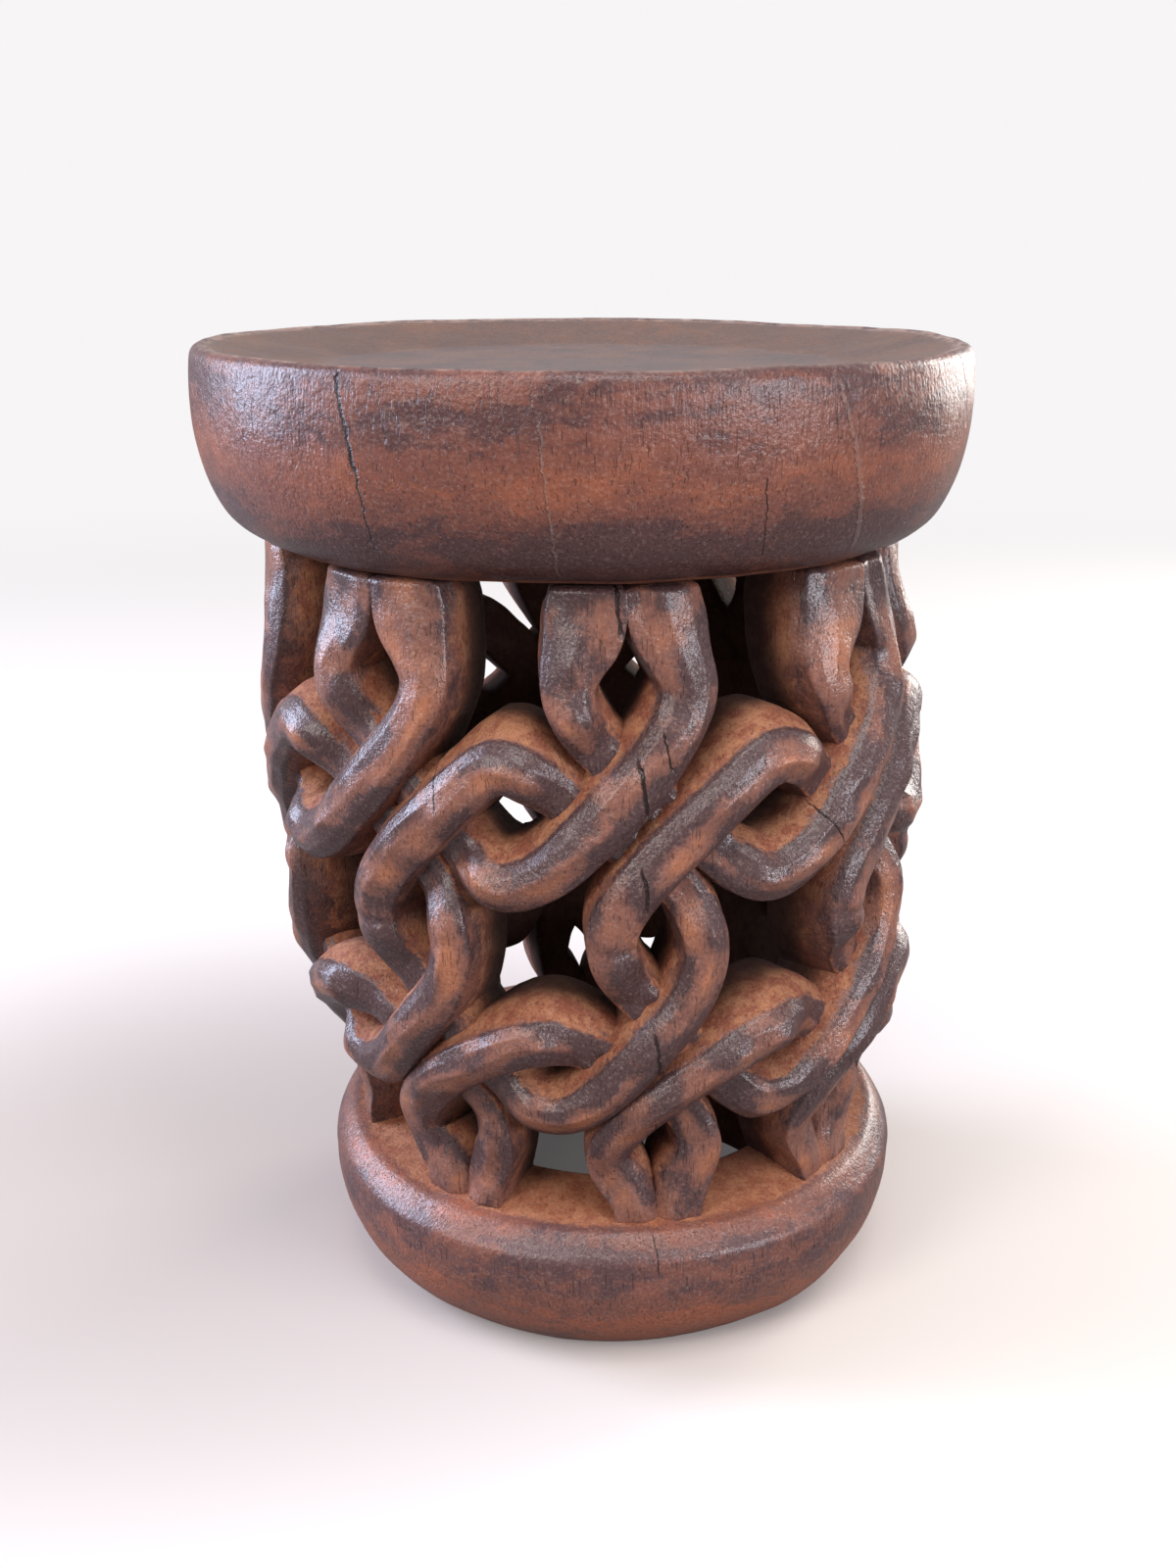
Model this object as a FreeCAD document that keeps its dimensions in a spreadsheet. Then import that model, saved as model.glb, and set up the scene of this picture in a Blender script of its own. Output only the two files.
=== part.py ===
import FreeCAD, Part
import math
import os

import Sketcher

# African drum table: a shallow dish seat on an open barrel of interlaced strands
# that stands on a heavy base ring. Millimetres, +Z up. The origin is on the floor,
# under the middle of the seat, and column 1 of the lattice faces -Y.

doc = FreeCAD.newDocument("DrumTable")
Vector = FreeCAD.Vector

# Driving sizes

SIZES = [
    ("columns", 8, "columns of eyes round the barrel"),
    ("base_height", 86, "base ring, foot to flat top"),
    ("base_setback", 38.6, "widest part of the seat in to the widest part of the base ring"),
    ("base_foot_inset", 25.9, "widest part in to the outer edge of the foot"),
    ("base_waist_height", 58, "height of the widest part"),
    ("base_lower_bend", 66, "radius of the lower bulge"),
    ("base_upper_bend", 31, "radius of the upper shoulder"),
    ("base_shoulder", 10.6, "widest part in to the edge of the flat top"),
    ("base_foot_breadth", 31.5, "open middle of the base ring to the edge of the foot"),
    ("base_foot_break", 2.5, "broken edges of the foot"),
    ("foot_shift_right", 17.2, "lean of the barrel: base ring to +X of the seat"),
    ("foot_shift_front", 2.1, "lean of the barrel: base ring to -Y of the seat"),
    ("lattice_height", 329, "top of the base ring to the underside of the seat"),
    ("seat_overhang", 19.6, "widest part of the seat in to the outside of the barrel at its widest"),
    ("barrel_wall", 50.4, "outside of the barrel in to its hollow, at its widest"),
    ("strand_groove", 0.6, "gap kept between strands side by side"),
    ("crown_rise", 6.5, "how far a strand's back stands above its edges"),
    ("lap_depth", 15, "depth of the strand that passes over"),
    ("lap_clearance", 0.6, "fit between the strands at a crossing"),
    ("notch_ramp", 9, "run-out behind the strand that passes over"),
    ("dive_ramp", 24, "slope of the strand that passes under"),
    ("seat_clearance", 0.1, "fit of the strand ends on the flat faces"),
    ("dish_radius", 200, "widest part of the seat"),
    ("dish_height", 95.5, "underside of the seat to its crest"),
    ("dish_widest_height", 67.5, "underside to the widest part"),
    ("dish_neck_inset", 34, "widest part in to the edge of the flat underside"),
    ("dish_neck_height", 1.6, "small upright edge under the bulge"),
    ("dish_belly_reach", 20, "neck out to where the lower bulge meets the side"),
    ("dish_belly_rise", 14, "top of the upright edge up to that place"),
    ("dish_lower_bend", 30, "radius of the lower bulge"),
    ("dish_side_bend", 103, "radius of the side below the widest part"),
    ("dish_upper_bend", 180, "radius of the side above the widest part"),
    ("dish_lip_inset", 1.4, "widest part in to where the side turns into the lip"),
    ("dish_lip_drop", 5.5, "crest down to that place"),
    ("dish_lip_bend", 6, "radius of the lip"),
    ("dish_crest_inset", 5.8, "widest part in to the crest of the lip"),
    ("well_radius", 136, "edge of the flat floor of the dish"),
    ("well_depth", 12, "crest to the floor of the dish"),
]

sheet = doc.addObject("Spreadsheet::Sheet", "Sizes")
for row, (alias, value, note) in enumerate(SIZES, start=1):
    sheet.set("A%d" % row, alias)
    sheet.set("B%d" % row, str(value))
    sheet.set("C%d" % row, note)
    sheet.setAlias("B%d" % row, alias)
doc.recompute()
size = {alias: float(sheet.get(alias)) for alias, _, _ in SIZES}
column_count = int(round(size["columns"]))
column_pitch = 2 * math.pi / column_count
barrel_radius = size["dish_radius"] - size["seat_overhang"]
bore_radius = barrel_radius - size["barrel_wall"]

# Shape of the barrel and of its hollow: (share of the lattice height, share of the radius)

barrel_shares = [
    (0.0, 0.8), (0.06, 0.808), (0.135, 0.865), (0.225, 0.93), (0.315, 0.962), (0.405, 0.974),
    (0.5, 0.98), (0.59, 0.992), (0.68, 1.0), (0.77, 0.991), (0.865, 0.961), (0.94, 0.935),
    (1.0, 0.926),
]
bore_shares = [(0.0, 0.8), (0.225, 0.9), (0.5, 0.97), (0.7, 1.0), (1.0, 0.93)]

# Paths of the strands of one column, each row a place on the middle of the strand:
# share of the column pitch to the right of the column, share of the lattice height,
# share of the strand's breadth.

# From the seat down the right of the top eye, over the crossing, round the hook,
# under the next crossing and up the left of the neighbouring top eye.
upper_strand_shares = [
    (0.094, 1.0, 1.5), (0.103, 0.97, 1.6), (0.13, 0.925, 1.55), (0.17, 0.865, 1.08),
    (0.11, 0.805, 1.03), (0.03, 0.75, 1.1), (-0.075, 0.7, 1.15), (-0.19, 0.655, 1.15),
    (-0.335, 0.607, 1.08), (-0.47, 0.58, 1.02), (-0.59, 0.575, 1.0), (-0.715, 0.602, 1.0),
    (-0.855, 0.65, 1.0), (-1.01, 0.705, 1.0), (-1.155, 0.76, 1.0), (-1.225, 0.81, 1.0),
    (-1.27, 0.865, 1.12), (-1.215, 0.925, 1.55), (-1.183, 0.97, 1.6), (-1.174, 1.0, 1.5),
]

# A closed loop: the hump between two columns, down the right of the middle eye,
# over the lower crossing, round its hook and up the left of the neighbouring middle eye.
middle_ring_shares = [
    (-0.55, 0.765, 1.0), (-0.425, 0.75, 1.0), (-0.29, 0.7, 1.0), (-0.155, 0.65, 1.0),
    (-0.03, 0.61, 1.0), (0.09, 0.568, 1.0), (0.175, 0.515, 1.0), (0.2, 0.45, 1.0),
    (0.14, 0.38, 1.0), (0.03, 0.325, 1.0), (-0.095, 0.275, 1.0), (-0.245, 0.22, 1.0),
    (-0.4, 0.188, 1.0), (-0.545, 0.192, 1.0), (-0.685, 0.23, 1.0), (-0.835, 0.285, 1.0),
    (-0.99, 0.355, 1.0), (-1.12, 0.42, 1.08), (-1.155, 0.495, 1.12), (-1.035, 0.575, 1.1),
    (-0.86, 0.652, 1.12), (-0.7, 0.718, 1.05),
]

# From the base up the right of the bottom eye, under the crossing, over the arch,
# across the next crossing and down the left of the neighbouring bottom eye.
lower_arch_shares = [
    (0.105, 0.0, 0.92), (0.165, 0.04, 1.03), (0.262, 0.11, 1.0), (0.155, 0.175, 1.0),
    (-0.015, 0.235, 1.0), (-0.2, 0.295, 1.0), (-0.34, 0.328, 1.0), (-0.48, 0.335, 1.0),
    (-0.635, 0.31, 1.0), (-0.8, 0.268, 1.0), (-0.945, 0.225, 1.0), (-1.135, 0.158, 1.0),
    (-1.22, 0.1, 1.0), (-1.138, 0.04, 1.03), (-1.09, 0.0, 0.92),
]

# Middles of the two crossings of each column: (share of the pitch, share of the height)
crossing_shares = [(-0.015, 0.655), (0.045, 0.273)]

# Half the crossing of two strands over two, and half the room of one strand, both as
# shares of the spacing of the strands, which is a share of the lattice height
# where that is finer than the pitch of the columns.
lap_share = 0.265
strand_share = 0.084
spacing_share = 0.431

# Stations between two rows of a path, and places across a strand (-1 left to 1 right)
stations_per_row = 3
crown_places = [-1.0, -0.55, 0.0, 0.55, 1.0]
inner_places = [-1.0, 0.0, 1.0]


def blend(before, start, end, after, step):
    """Smooth curve through start and end, guided by the values on either side."""
    slope = end - before
    bend = 2 * before - 5 * start + 4 * end - after
    twist = 3 * start - before - 3 * end + after
    return (2 * start + slope * step + bend * step ** 2 + twist * step ** 3) / 2


def share_at(table, place):
    """Value of a two-column table of shares at a place, smoothly blended."""
    place = min(max(place, table[0][0]), table[-1][0])
    last = len(table) - 1
    index = 0
    while index < last - 1 and place > table[index + 1][0]:
        index += 1
    step = (place - table[index][0]) / (table[index + 1][0] - table[index][0])
    values = [table[min(max(index + off, 0), last)][1] for off in (-1, 0, 1, 2)]
    return blend(*values, step)


def height_share(height):
    """Height above the floor as a share of the lattice."""
    return (height - size["base_height"]) / size["lattice_height"]


def seat_underside():
    """Height of the flat face that the strands carry."""
    return size["base_height"] + size["lattice_height"]


def barrel_at(height):
    """Outside radius of the barrel."""
    return barrel_radius * share_at(barrel_shares, height_share(height))


def bore_at(height):
    """Radius of the hollow inside the barrel."""
    return bore_radius * share_at(bore_shares, height_share(height))


def place_at(angle, height, radius):
    """Point of the leaning barrel; angle 0 faces -Y and turns towards +X."""
    lean = 1 - height_share(height)
    x = size["foot_shift_right"] * lean + radius * math.sin(angle)
    y = -size["foot_shift_front"] * lean - radius * math.cos(angle)
    return Vector(x, y, height)


def smooth_step(value):
    """0 to 1 with level ends."""
    value = min(max(value, 0.0), 1.0)
    return value * value * (3 - 2 * value)


def strand_spacing():
    """Spacing that the strands share, along the barrel or up it, whichever is finer."""
    return min(column_pitch * barrel_radius, spacing_share * size["lattice_height"])


def strand_half_width():
    """Half the breadth of a strand, which leaves a groove to its neighbour."""
    return strand_share * strand_spacing() - size["strand_groove"] / 2


def crossing_distance(angle, height):
    """Distance to the nearest crossing along its slanting strands, in spacings."""
    distances = []
    for pitch_share, level_share in crossing_shares:
        turn = angle / column_pitch - pitch_share
        across = abs(turn - round(turn)) * share_at(barrel_shares, level_share)
        up = abs(height_share(height) - level_share) / spacing_share
        distances.append((across + up) / math.sqrt(2))
    return min(distances)


def path_stations(rows, closed, column):
    """Stations along a strand: (angle, height, breadth share)."""
    count = len(rows)
    spans = count if closed else count - 1
    stations = []
    for span in range(spans):
        picks = []
        for off in (-1, 0, 1, 2):
            index = span + off
            index = index % count if closed else min(max(index, 0), count - 1)
            picks.append(rows[index])
        for part in range(stations_per_row):
            step = part / stations_per_row
            stations.append([blend(*values, step) for values in zip(*picks)])
    if not closed:
        stations.append(list(rows[-1]))
    return [((column + turn) * column_pitch,
             size["base_height"] + level * size["lattice_height"],
             breadth) for turn, level, breadth in stations]


def strand_section(stations, index, closed):
    """Crown and inner points of one station, left to right."""
    count = len(stations)
    angle, height, breadth = stations[index]
    at_end = not closed and index in (0, count - 1)
    before = stations[(index - 1) % count if closed else max(index - 1, 0)]
    after = stations[(index + 1) % count if closed else min(index + 1, count - 1)]
    radius = barrel_at(height)
    along = (after[0] - before[0]) * radius
    climb = after[1] - before[1]
    run = math.hypot(along, climb)
    half = strand_half_width() * breadth

    # Near the seat and the base the sections turn level, to land flat.
    reach = min(height - size["base_height"], seat_underside() - height)
    along = along / run * min(1.0, max(reach, 0.0) / half)
    climb = math.copysign(math.sqrt(1 - along ** 2), climb)

    # Strands that climb to the right pass over, those that climb to the left under.
    beyond = (crossing_distance(angle, height) - lap_share) * strand_spacing()
    over = along * climb > 0
    notch = 1 - smooth_step(beyond / size["notch_ramp"])
    dive = 1 - smooth_step(beyond / size["dive_ramp"])
    if at_end:
        height += size["seat_clearance"] * (1 if height < seat_underside() / 2 else -1)

    crown = []
    for place in crown_places:
        spot = angle - climb * half * place / radius
        level = height + along * half * place
        outer = barrel_at(level)
        back = outer - size["crown_rise"] * place ** 2
        if not over:
            back += dive * (outer - size["lap_depth"] - back)
        crown.append(place_at(spot, level, back))
    inner = []
    for place in inner_places:
        spot = angle - climb * half * place / radius
        level = height + along * half * place
        depth = bore_at(level)
        if over:
            lap = barrel_at(level) - size["lap_depth"] + size["lap_clearance"]
            depth += notch * (lap - depth)
        inner.append(place_at(spot, level, depth))
    return crown, inner


def knots_for(count, degree):
    """Knots and multiplicities of a clamped curve with even spans."""
    spans = count - degree
    knots = list(range(spans + 1))
    mults = [degree + 1] + [1] * (spans - 1) + [degree + 1]
    return knots, mults


def skin(grid):
    """Smooth face over a grid of poles; the long way is cubic."""
    along, across = len(grid), len(grid[0])
    degree_along = 3
    degree_across = min(across - 1, 2)
    knots_along, mults_along = knots_for(along, degree_along)
    knots_across, mults_across = knots_for(across, degree_across)
    surface = Part.BSplineSurface()
    surface.buildFromPolesMultsKnots(
        grid, mults_along, mults_across, knots_along, knots_across,
        False, False, degree_along, degree_across)
    return surface.toShape()


def skins_of(sections):
    """Crown, inner face and the two side walls over a run of sections."""
    crown = [section[0] for section in sections]
    inner = [section[1] for section in sections]
    left = [[section[0][0], section[1][0]] for section in sections]
    right = [[section[0][-1], section[1][-1]] for section in sections]
    return [skin(crown), skin(inner), skin(left), skin(right)]


def end_face(faces, first):
    """Flat face that closes a strand at its first or last section."""
    edges = []
    for face in faces:
        surface = face.Surface
        bounds = surface.bounds()
        place = bounds[0] if first else bounds[1]
        edges.append(surface.uIso(place).toShape())
    wire = Part.Wire(Part.__sortEdges__(edges))
    return Part.Face(wire)


def solid_from(faces):
    """Closed solid, the right way out, from its skins."""
    shell = Part.makeCompound(faces)
    shell.sewShape()
    solid = Part.makeSolid(shell.Shells[0])
    if solid.Volume < 0:
        solid.reverse()
    return solid


def strand_solid(rows, closed, column):
    """One strand of the lattice as a closed solid."""
    stations = path_stations(rows, closed, column)
    sections = [strand_section(stations, index, closed) for index in range(len(stations))]
    if closed:
        middle = len(sections) // 2
        faces = skins_of(sections[:middle + 1])
        faces += skins_of(sections[middle:] + sections[:1])
    else:
        faces = skins_of(sections)
        faces += [end_face(faces[:4], True), end_face(faces[:4], False)]
    return solid_from(faces)


def add_strands(name, rows, closed):
    """The same strand in every column, numbered from the front towards +X."""
    strands = []
    for column in range(column_count):
        strand = doc.addObject("Part::Feature", "%s_%d" % (name, column + 1))
        strand.Label = "%s_%d" % (name, column + 1)
        strand.Shape = strand_solid(rows, closed, column)
        strand.Placement = FreeCAD.Placement()
        strands.append(strand)
    return strands


def turned_body(name, corners, bends):
    """Revolved body from an outline of (radius, height) names.

    corners holds pairs of expressions in the sheet's names, "" for zero, and runs
    anticlockwise, as arcs in a sketch do.
    bends gives the radius name of each side that is an arc, bulging outwards.
    """
    body = doc.addObject("PartDesign::Body", name)
    body.Label = name
    plane = [item for item in body.Origin.OriginFeatures if item.Role == "XZ_Plane"][0]
    sketch = body.newObject("Sketcher::SketchObject", name + "_outline")
    sketch.AttachmentSupport = [(plane, "")]
    sketch.MapMode = "FlatFace"

    spots = [Vector(sum_of(across), sum_of(up), 0) for across, up in corners]
    count = len(spots)
    for index in range(count):
        start, end = spots[index], spots[(index + 1) % count]
        bend = bends.get(index)
        if bend:
            sketch.addGeometry(outward_arc(start, end, size[bend]), False)
        else:
            sketch.addGeometry(Part.LineSegment(start, end), False)
    first, last = 1, 2
    for index in range(count):
        sketch.addConstraint(Sketcher.Constraint(
            "Coincident", index, last, (index + 1) % count, first))
    for index, (across, up) in enumerate(corners):
        bind_length(sketch, "DistanceX", index, first, across, spots[index].x)
        bind_length(sketch, "DistanceY", index, first, up, spots[index].y)
    for index, bend in bends.items():
        number = sketch.addConstraint(Sketcher.Constraint("Radius", index, size[bend]))
        sketch.setExpression("Constraints[%d]" % number, "Sizes." + bend)

    turn = body.newObject("PartDesign::Revolution", name + "_turned")
    turn.Profile = sketch
    turn.ReferenceAxis = (sketch, ["V_Axis"])
    turn.Angle = 360
    return body


def sum_of(text):
    """Value of a sum or difference of size names, such as 'dish_height - well_depth'."""
    total = 0.0
    sign = 1
    for word in text.split():
        if word in "+-":
            sign = 1 if word == "+" else -1
        else:
            total += sign * size[word]
    return total


def bound(text):
    """The same sum as an expression on the sheet."""
    return " ".join(word if word in "+-" else "Sizes." + word for word in text.split())


def outward_arc(start, end, bend):
    """Arc between two points of an outline that bulges away from the axis."""
    chord = end - start
    half = chord.Length / 2
    sagitta = bend - math.sqrt(bend ** 2 - half ** 2)
    outward = Vector(chord.y, -chord.x, 0) / chord.Length
    return Part.Arc(start, (start + end) / 2 + outward * sagitta, end)


def bind_length(sketch, kind, index, point, text, value):
    """Hold one point of the outline at a length of the sheet, or on an axis."""
    if not text:
        axis = -2 if kind == "DistanceX" else -1
        sketch.addConstraint(Sketcher.Constraint("PointOnObject", index, point, axis))
        return
    number = sketch.addConstraint(Sketcher.Constraint(kind, -1, 1, index, point, value))
    sketch.setExpression("Constraints[%d]" % number, bound(text))


def add_base_ring():
    """Heavy open ring that the lattice stands on."""
    widest = "dish_radius - base_setback"
    foot = widest + " - base_foot_inset"
    bore = foot + " - base_foot_breadth"
    corners = [
        (bore + " + base_foot_break", ""),
        (foot + " - base_foot_break", ""),
        (foot, "base_foot_break"),
        (widest, "base_waist_height"),
        (widest + " - base_shoulder", "base_height"),
        (bore, "base_height"),
        (bore, "base_foot_break"),
    ]
    bends = {2: "base_lower_bend", 3: "base_upper_bend"}
    body = turned_body("base_ring", corners, bends)
    body.setExpression("Placement.Base.x", "Sizes.foot_shift_right")
    body.setExpression("Placement.Base.y", "-Sizes.foot_shift_front")
    return body


def add_seat_dish():
    """Thick round seat with a shallow dish in its top."""
    neck = "dish_radius - dish_neck_inset"
    corners = [
        ("", ""),
        (neck, ""),
        (neck, "dish_neck_height"),
        (neck + " + dish_belly_reach", "dish_neck_height + dish_belly_rise"),
        ("dish_radius", "dish_widest_height"),
        ("dish_radius - dish_lip_inset", "dish_height - dish_lip_drop"),
        ("dish_radius - dish_crest_inset", "dish_height"),
        ("well_radius", "dish_height - well_depth"),
        ("", "dish_height - well_depth"),
    ]
    bends = {2: "dish_lower_bend", 3: "dish_side_bend", 4: "dish_upper_bend", 5: "dish_lip_bend"}
    body = turned_body("seat_dish", corners, bends)
    body.setExpression("Placement.Base.z", "Sizes.base_height + Sizes.lattice_height")
    return body


parts = [add_base_ring(), add_seat_dish()]
parts += add_strands("upper_strand", upper_strand_shares, False)
parts += add_strands("middle_ring", middle_ring_shares, True)
parts += add_strands("lower_arch", lower_arch_shares, False)
doc.recompute()

# Every object has to be sound before anything is written.

for item in doc.Objects:
    if "Invalid" in item.State or "Error" in item.State:
        raise RuntimeError("%s did not build: %s" % (item.Label, item.State))
for part in parts:
    if part.Shape.isNull() or not part.Shape.isValid():
        raise RuntimeError("%s has no sound shape" % part.Label)
    if len(part.Shape.Solids) != 1:
        raise RuntimeError("%s is not one solid" % part.Label)

os.makedirs("parts", exist_ok=True)
for part in parts:
    part.Shape.exportStep(os.path.join("parts", part.Label + ".step"))
    box = part.Shape.BoundBox
    print("%-16s volume %9.0f mm3, z %6.1f to %6.1f, x %7.1f to %7.1f"
          % (part.Label, part.Shape.Volume, box.ZMin, box.ZMax, box.XMin, box.XMax))
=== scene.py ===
"""Carved hardwood drum table: dish seat, barrel of interlaced strands, base ring."""

import logging
import math
from dataclasses import dataclass, field
from enum import Enum
from typing import Iterator, Optional, Sequence

import bmesh
import bpy
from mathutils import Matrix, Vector, noise


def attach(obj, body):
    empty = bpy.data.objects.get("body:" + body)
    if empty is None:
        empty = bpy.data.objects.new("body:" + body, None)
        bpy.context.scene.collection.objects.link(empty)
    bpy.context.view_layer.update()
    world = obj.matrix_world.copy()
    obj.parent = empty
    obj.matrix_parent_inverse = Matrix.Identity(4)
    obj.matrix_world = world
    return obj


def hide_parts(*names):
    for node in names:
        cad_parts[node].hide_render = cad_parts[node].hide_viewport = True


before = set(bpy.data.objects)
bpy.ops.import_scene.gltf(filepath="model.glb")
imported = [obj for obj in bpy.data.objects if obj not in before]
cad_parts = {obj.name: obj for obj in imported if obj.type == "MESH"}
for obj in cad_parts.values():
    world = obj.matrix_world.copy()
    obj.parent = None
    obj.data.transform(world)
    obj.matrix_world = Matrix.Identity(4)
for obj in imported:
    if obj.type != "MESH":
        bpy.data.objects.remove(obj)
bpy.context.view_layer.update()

LOG = logging.getLogger("drum_table")
MM = 0.001
COLUMNS = 8
PITCH = math.tau / COLUMNS
Row = tuple[float, float, float]
Socket = bpy.types.NodeSocket


class Blend(Enum):
    """What a mixing node mixes."""

    COLOUR = "RGBA"
    VALUE = "FLOAT"


@dataclass(frozen=True)
class Wear:
    """Wear and painted shade at one vertex: oiled or raw, painted shade, rubbed through, pale
    edge.
    """

    crown: float = 1.0
    painted_shade: float = 0.0
    wear_and_shade: float = 0.5
    edge: float = 0.0


WEAR_LAYERS = ("crown", "painted_shade", "wear_and_shade", "edge")


def linear(colour: str) -> tuple[float, float, float, float]:
    """Turn an sRGB hex colour into linear RGBA.

    Args:
        colour: Six hex digits after a hash.

    Returns:
        Linear red, green, blue and an alpha of one.
    """
    parts = [int(colour[place:place + 2], 16) / 255 for place in (1, 3, 5)]
    red, green, blue = [
        part / 12.92 if part <= 0.04045 else ((part + 0.055) / 1.055) ** 2.4 for part in parts
    ]
    return red, green, blue, 1.0


def smooth_step(value: float) -> float:
    """Ease from 0 to 1 with level ends."""
    value = min(max(value, 0.0), 1.0)
    return value * value * (3 - 2 * value)


def blend(before: float, start: float, end: float, after: float, step: float) -> float:
    """Blend smoothly from start to end, guided by the values on either side.

    Args:
        before: Value ahead of start.
        start: Value at step 0.
        end: Value at step 1.
        after: Value past end.
        step: Place between start and end.

    Returns:
        The value at the step.
    """
    slope = end - before
    bend = 2 * before - 5 * start + 4 * end - after
    twist = 3 * start - before - 3 * end + after
    return (2 * start + slope * step + bend * step ** 2 + twist * step ** 3) / 2


class NodeBench:
    """Node tree under construction, with one short method per kind of step."""

    def __init__(self, tree: bpy.types.NodeTree) -> None:
        """Take a tree and empty it."""
        self.tree = tree
        tree.nodes.clear()

    def add(self, kind: str, settings: Optional[dict[str, object]] = None,
            **links: object) -> bpy.types.Node:
        """Add one shader node, with its settings and what feeds it.

        Args:
            kind: Blender's name of the node type, without its Shader prefix.
            settings: Attributes to set on the node.
            links: Input name or, after an underscore, its number, to a socket or plain value.

        Returns:
            The new node.
        """
        node = self.tree.nodes.new("ShaderNode" + kind)
        for name, value in (settings or {}).items():
            setattr(node, name, value)
        for name, value in links.items():
            key = int(name[1:]) if name[1:].isdigit() else name.replace("_", " ")
            if isinstance(value, bpy.types.NodeSocket):
                self.tree.links.new(value, node.inputs[key])
            else:
                node.inputs[key].default_value = value
        return node

    def math(self, operation: str, first: object, second: object = 0.0) -> Socket:
        """Combine two values by one arithmetic operation."""
        return self.add("Math", {"operation": operation}, _0=first, _1=second).outputs[0]

    def scaled(self, value: Socket, factor: float, middle: float = 0.5) -> Socket:
        """Swing of a value about its middle, times a factor."""
        return self.math("MULTIPLY", self.math("SUBTRACT", value, middle), factor)

    def ramp(self, value: Socket, low: float, high: float) -> Socket:
        """Stretch a value so that low becomes 0 and high becomes 1, eased."""
        return self.add("MapRange", {"interpolation_type": "SMOOTHSTEP"}, _0=value, _1=low,
                        _2=high).outputs[0]

    def mix(self, share: object, under: object, over: object,
            kind: Blend = Blend.COLOUR) -> Socket:
        """Lay one colour or value over another by a share.

        Args:
            share: How much of the second shows.
            under: Colour or value at share 0.
            over: Colour or value at share 1.
            kind: Whether colours or values are mixed.

        Returns:
            The mixed socket.
        """
        first, second, out = (6, 7, 2) if kind is Blend.COLOUR else (2, 3, 0)
        node = self.add("Mix", {"data_type": kind.value}, _0=share,
                        **{f"_{first}": under, f"_{second}": over})
        return node.outputs[out]

    def stain(self, share: Socket, strength: float, under: Socket, colour: str) -> Socket:
        """Lay a plain colour over another by a share and a strength."""
        return self.mix(self.math("MULTIPLY", share, strength), under, linear(colour))

    def cloud(self, spot: Socket, cell_mm: float, detail: float = 3.0, rough: float = 0.55,
              swirl: float = 0.0) -> Socket:
        """Cloudy pattern whose cells measure cell_mm."""
        return self.add("TexNoise", Vector=spot, Scale=1 / (cell_mm * MM), Detail=detail,
                        Roughness=rough, Distortion=swirl).outputs["Fac"]

    def stretched(self, spot: Socket, scale: tuple[float, float, float]) -> Socket:
        """Coordinates of a pattern that is drawn out or pressed together."""
        return self.add("Mapping", Vector=spot, Scale=scale).outputs[0]

    def attribute(self, name: str) -> Socket:
        """Read one of the wear and painted-shade values stored on the vertices."""
        return self.add("Attribute", {"attribute_name": name}).outputs["Fac"]


@dataclass(frozen=True)
class Crack:
    """Thin drying crack or filled scar, by bearing round the seat's axis and height."""

    low: tuple[float, float]
    high: tuple[float, float]
    width_mm: float = 1.1
    radius_mm: float = 190.0
    wander: float = 0.03

    def mask(self, bench: NodeBench, bearing: Socket, height: Socket, sway: Socket) -> Socket:
        """Share of the crack at a spot.

        Args:
            bench: Tree that gets the nodes.
            bearing: Bearing of the spot in radians, 0 to the front, growing to the right.
            height: Height of the spot in metres.
            sway: Cloudy value that makes the crack wander.

        Returns:
            1 in the crack and 0 beside it.
        """
        low, high = self.low[1] * MM, self.high[1] * MM
        line = bench.add("MapRange", _0=height, _1=low, _2=high, _3=math.radians(self.low[0]),
                         _4=math.radians(self.high[0])).outputs[0]
        away = bench.math("SUBTRACT", bearing, line)
        away = bench.math("ADD", away, bench.scaled(sway, self.wander))
        away = bench.math("ABSOLUTE", away)
        half = self.width_mm / 2 / self.radius_mm
        near = bench.ramp(away, half * 1.5, half * 0.5)
        above = bench.ramp(height, low - 2 * MM, low + 3 * MM)
        below = bench.ramp(height, high + 2 * MM, high - 3 * MM)
        return bench.math("MULTIPLY", near, bench.math("MULTIPLY", above, below))


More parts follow.
